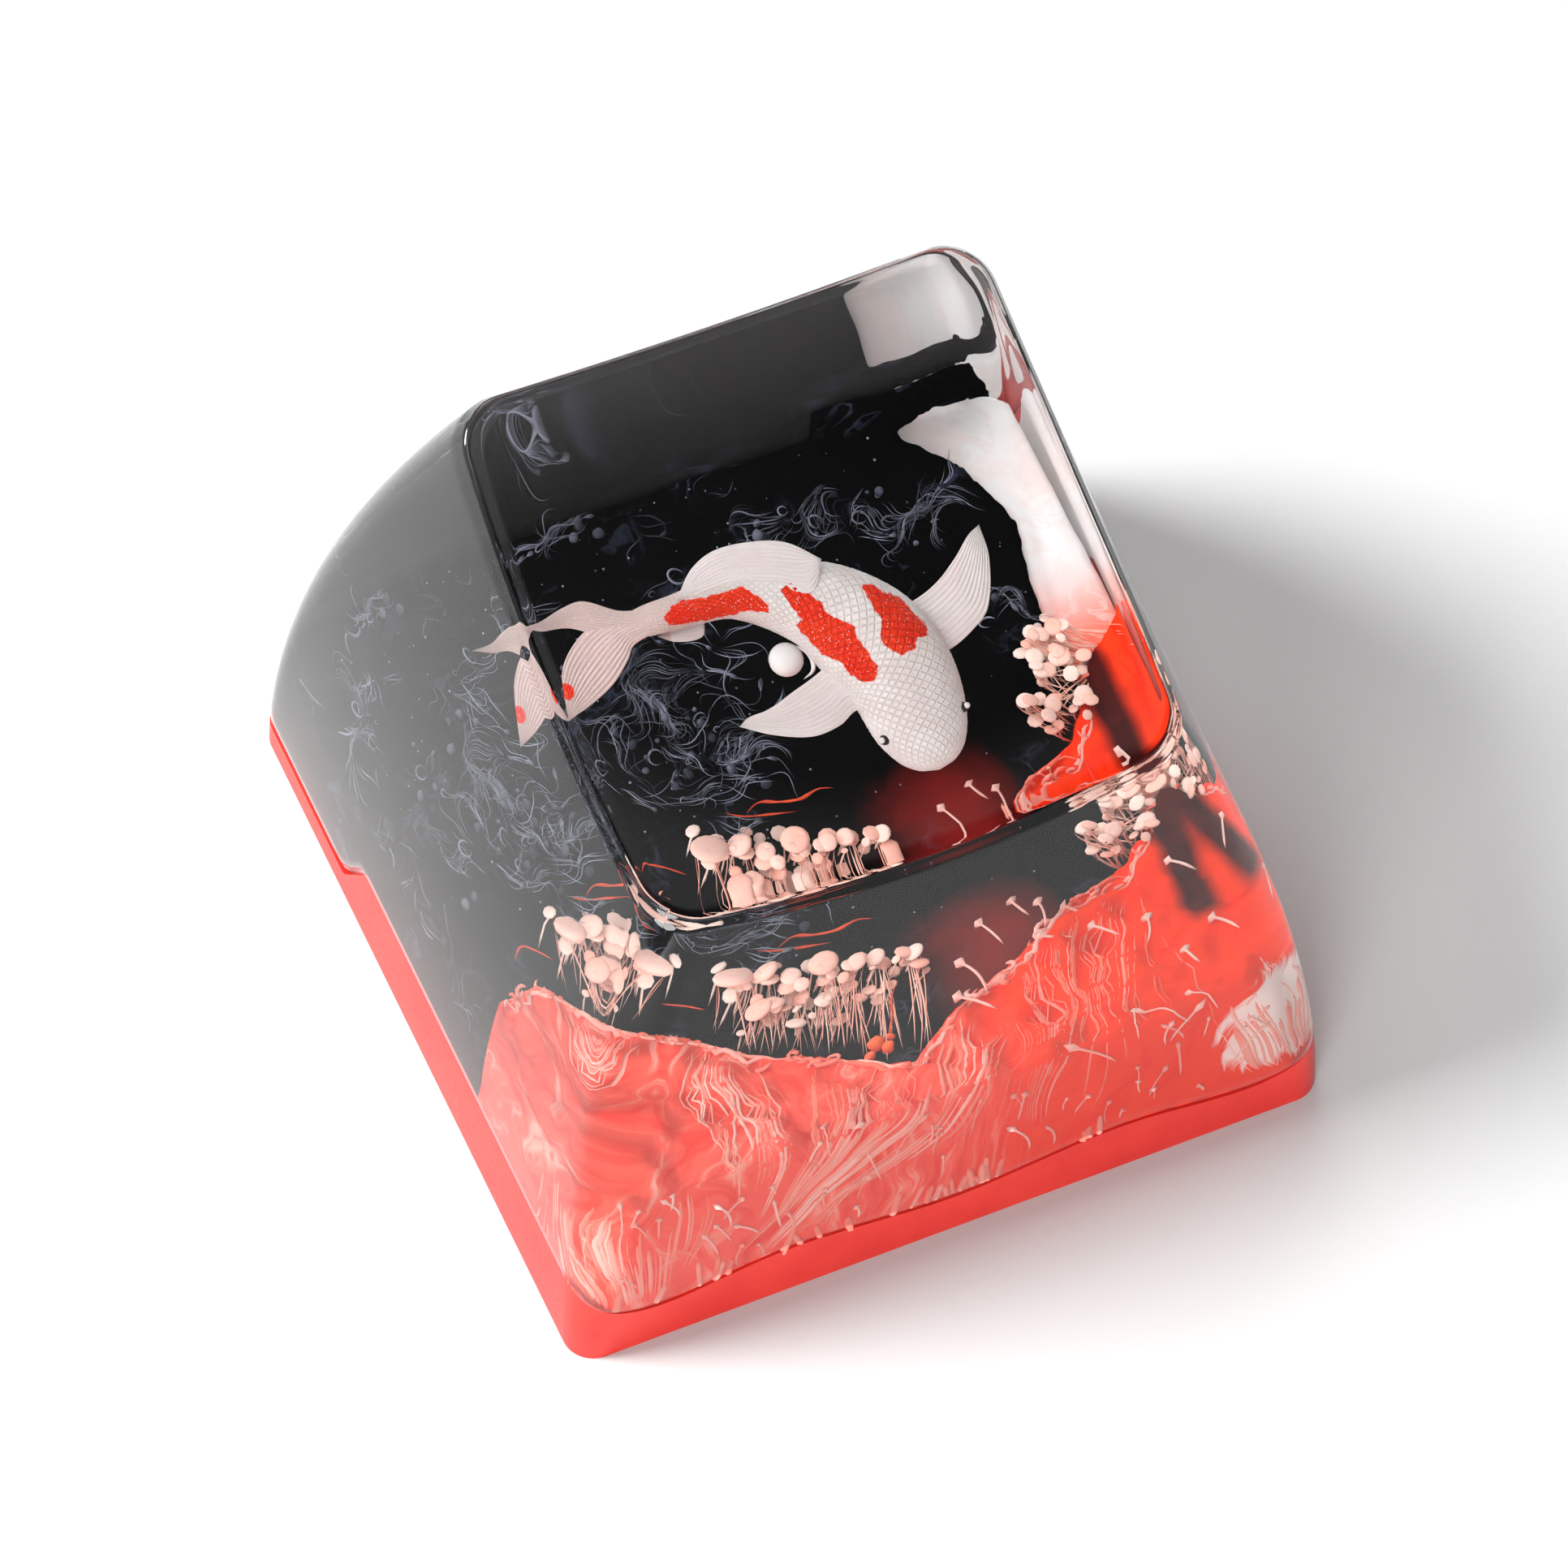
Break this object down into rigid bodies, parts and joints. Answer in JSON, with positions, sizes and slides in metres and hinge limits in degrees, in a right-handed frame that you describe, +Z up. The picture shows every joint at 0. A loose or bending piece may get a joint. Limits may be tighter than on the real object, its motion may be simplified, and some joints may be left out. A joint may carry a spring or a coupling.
{
  "type": "artisan keycap",
  "caption": "Tall sculpted keycap with a dished, forward-leaning top, cast in clear resin over ink clouds and a koi figure, on an opaque base with a cross socket.",
  "frame": {"origin": "middle of the bottom rim, on the plane that it rests on", "axes": "+Z up, +X to the right, -Y towards the typist, the low edge of the top"},
  "size_m": [0.0184, 0.0184, 0.0157],
  "materials": {
    "clear_resin": "polished clear cast resin",
    "red_resin": "opaque red cast resin, polished",
    "koi_paint": "pearl white with orange patches",
    "black_ink": "black ink in resin with pale blue wisps",
    "pale_ink": "white to pale pink ink in resin",
    "red_ink": "coral red ink in resin with pink threads",
    "peach_ink": "pale peach ink in resin"
  },
  "bodies": {
    "root": {"clear_body": "clear_resin", "base_casting": "red_resin", "koi": "koi_paint", "black_cloud": "black_ink", "pale_cloud": "pale_ink", "red_cloud": "red_ink", "pale_drops": "peach_ink"}
  },
  "joints": []
}
